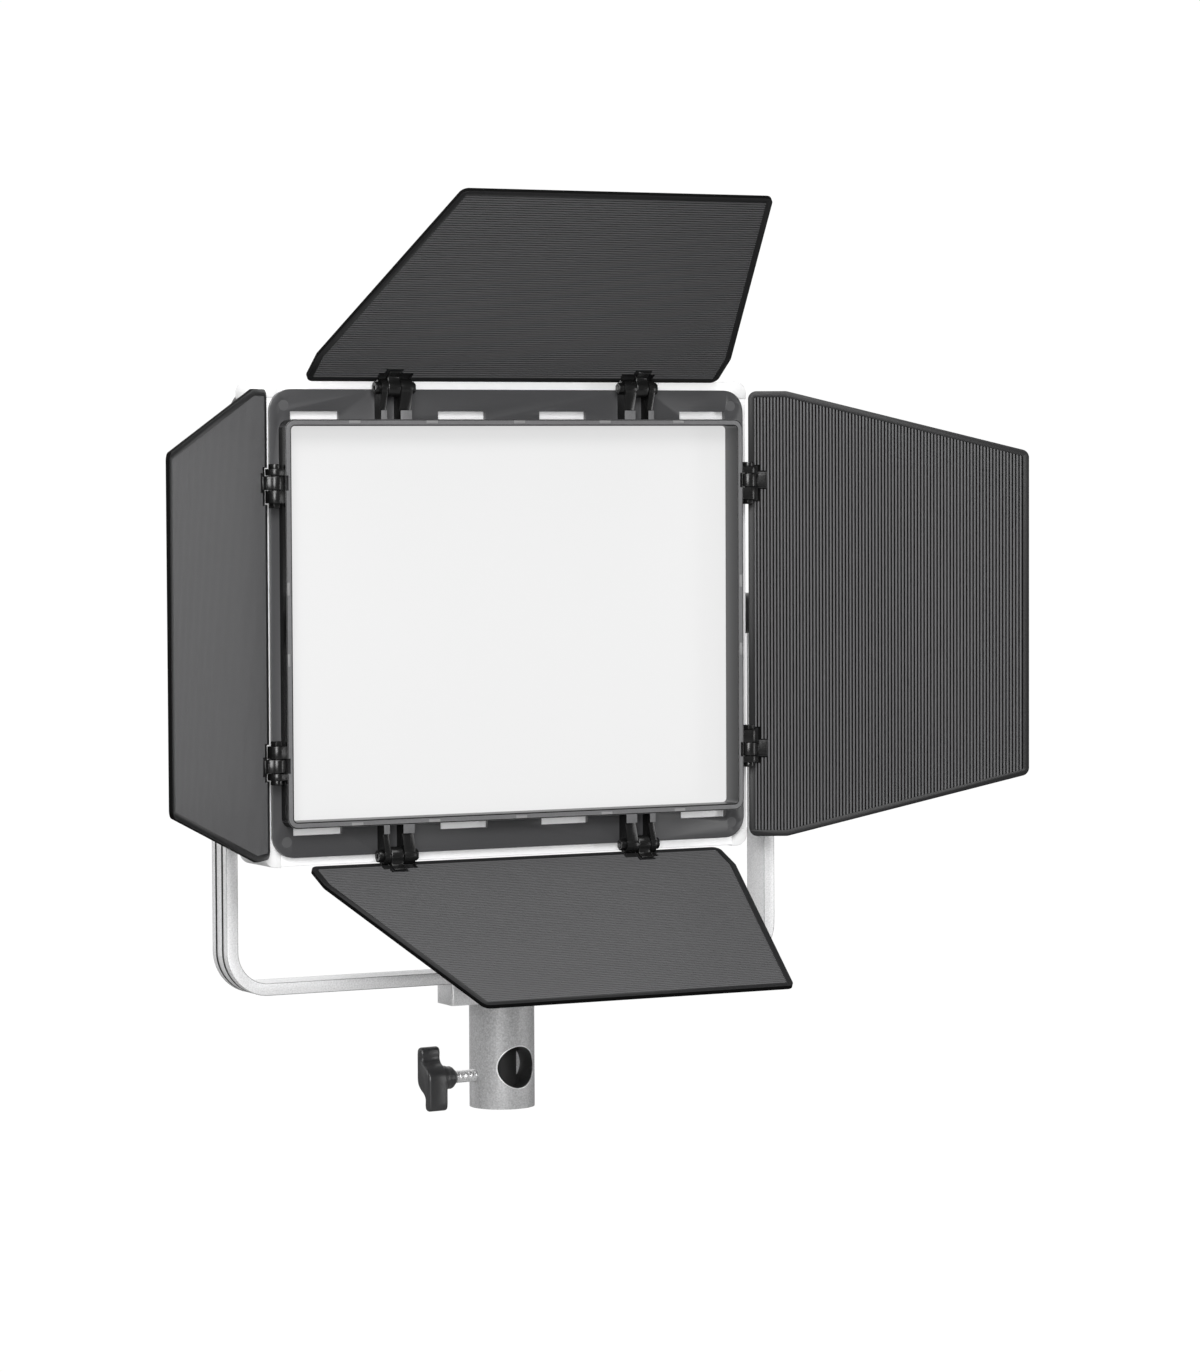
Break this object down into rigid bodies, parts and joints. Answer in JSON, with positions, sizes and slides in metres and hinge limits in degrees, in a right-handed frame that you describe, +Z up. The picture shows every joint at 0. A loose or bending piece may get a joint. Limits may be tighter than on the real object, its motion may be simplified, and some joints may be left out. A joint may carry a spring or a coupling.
{
  "type": "led panel light with barn doors",
  "caption": "Flat LED soft light with folding barn doors, held in a tilting U-shaped yoke on a tubular light-stand receiver with a clamp screw.",
  "frame": {"origin": "centre of the stand receiver's bore at its open lower mouth", "axes": "+Z up along the receiver bore, -Y the way the light shines, +X to the right seen from the front"},
  "size_m": [0.4693, 0.1918, 0.4311],
  "materials": {
    "silver_aluminium": "bead-blasted and clear anodised",
    "cast_receiver": "blasted",
    "light_plastic": "moulded",
    "black_plastic": "fine texture",
    "frame_plastic": "satin",
    "door_plastic": "ribbed, satin",
    "rubber": "matt",
    "steel": "zinc plated",
    "black_steel": "black oxide",
    "nylon": "natural",
    "opal": "satin opal sheet",
    "white_plastic": "matt",
    "board": "solder mask",
    "phosphor": "cured silicone",
    "dark_metal": "mill",
    "display_glass": "polished",
    "clip_plastic": "satin"
  },
  "bodies": {
    "yoke": {"yoke_bracket": "silver_aluminium", "mounting_block": "silver_aluminium", "stand_receiver": "cast_receiver", "block_bolts": "black_steel", "friction_washers": "rubber"},
    "clamp_tip": {"clamp_pad": "nylon"},
    "clamp": {"clamp_screw": "steel", "clamp_handle": "black_plastic"},
    "left_tilt_lock": {"tilt_knob_left": "black_plastic", "tilt_stud_left": "steel"},
    "right_tilt_lock": {"tilt_knob_right": "black_plastic", "tilt_stud_right": "steel"},
    "right_door": {"door_right": "door_plastic", "knuckles_right": "black_plastic"},
    "top_door": {"door_top": "door_plastic", "knuckles_top": "black_plastic"},
    "left_door": {"door_left": "door_plastic", "knuckles_left": "black_plastic"},
    "bottom_door": {"door_bottom": "door_plastic", "knuckles_bottom": "black_plastic"},
    "brightness_dial": {"dial_brightness": "black_plastic"},
    "colour_dial": {"dial_colour": "black_plastic"},
    "mode_button": {"button_mode": "black_plastic"},
    "menu_button": {"button_menu": "black_plastic"},
    "back_button": {"button_back": "black_plastic"},
    "rocker": {"power_switch": "black_plastic"},
    "head": {"rail_top": "silver_aluminium", "rail_bottom": "silver_aluminium", "rail_left": "silver_aluminium", "rail_right": "silver_aluminium", "corner_caps": "light_plastic", "corner_screws": "black_steel", "pivot_bosses": "dark_metal", "pivot_spacers": "black_plastic", "rear_cover": "black_plastic", "cover_screws": "black_steel", "heat_sink": "dark_metal", "led_board": "white_plastic", "led_chips": "phosphor", "light_box": "white_plastic", "diffuser": "opal", "diffuser_gasket": "rubber", "driver_board": "board", "driver_parts": "black_plastic", "control_panel": "black_plastic", "display_window": "display_glass", "encoders": "dark_metal", "power_inlet": "black_plastic", "door_frame": "frame_plastic", "frame_magnets": "frame_plastic", "rim_clips": "clip_plastic", "hinge_screws": "black_steel", "hinge_nuts": "black_steel"}
  },
  "joints": [
    {"name": "head_tilt", "type": "hinge", "parent": "yoke", "child": "head", "pos_m": [0, 0, 0.2345], "axis": [1, 0, 0], "range_deg": [-90, 5]},
    {"name": "clamp_travel", "type": "slide", "parent": "yoke", "child": "clamp_tip", "axis": [0.9954, 0.0958, 0], "range_m": [-0.002, 0.0005]},
    {"name": "clamp_turn", "type": "hinge", "parent": "clamp_tip", "child": "clamp", "pos_m": [-0.02986, -0.00288, 0.0157], "axis": [0.9954, 0.0958, 0], "range_deg": [-725, 185]},
    {"name": "left_lock_turn", "type": "hinge", "parent": "yoke", "child": "left_tilt_lock", "pos_m": [-0.15, 0, 0.2345], "axis": [-1, 0, 0], "range_deg": [0, 180]},
    {"name": "right_lock_turn", "type": "hinge", "parent": "yoke", "child": "right_tilt_lock", "pos_m": [0.15, 0, 0.2345], "axis": [1, 0, 0], "range_deg": [0, 180]},
    {"name": "left_door_fold", "type": "hinge", "parent": "head", "child": "left_door", "pos_m": [-0.1251, -0.0203, 0.2345], "axis": [0, 0, 1], "range_deg": [-34, 125]},
    {"name": "right_door_fold", "type": "hinge", "parent": "head", "child": "right_door", "pos_m": [0.1251, -0.0203, 0.2345], "axis": [0, 0, -1], "range_deg": [-12, 142]},
    {"name": "top_door_fold", "type": "hinge", "parent": "head", "child": "top_door", "pos_m": [0, -0.0203, 0.3441], "axis": [-1, 0, 0], "range_deg": [-117, 38]},
    {"name": "bottom_door_fold", "type": "hinge", "parent": "head", "child": "bottom_door", "pos_m": [0, -0.0203, 0.1249], "axis": [1, 0, 0], "range_deg": [-111, 47]},
    {"name": "brightness_turn", "type": "hinge", "parent": "head", "child": "brightness_dial", "pos_m": [0.012, 0.0365, 0.1755], "axis": [0, -1, 0], "continuous": true},
    {"name": "colour_turn", "type": "hinge", "parent": "head", "child": "colour_dial", "pos_m": [0.042, 0.0365, 0.1755], "axis": [0, -1, 0], "continuous": true},
    {"name": "mode_press", "type": "slide", "parent": "head", "child": "mode_button", "axis": [0, -1, 0], "range_m": [0, 0.0006], "stiffness_N_per_m": 500},
    {"name": "menu_press", "type": "slide", "parent": "head", "child": "menu_button", "axis": [0, -1, 0], "range_m": [0, 0.0006], "stiffness_N_per_m": 500},
    {"name": "back_press", "type": "slide", "parent": "head", "child": "back_button", "axis": [0, -1, 0], "range_m": [0, 0.0006], "stiffness_N_per_m": 500},
    {"name": "power_rock", "type": "hinge", "parent": "head", "child": "rocker", "pos_m": [0.014, 0.0351, 0.156], "axis": [0, 0, 1], "range_deg": [0, 14]}
  ],
  "couplings": [
    {"joint": "clamp_turn", "follows": "clamp_travel", "rad_per_m": 6283.2}
  ]
}
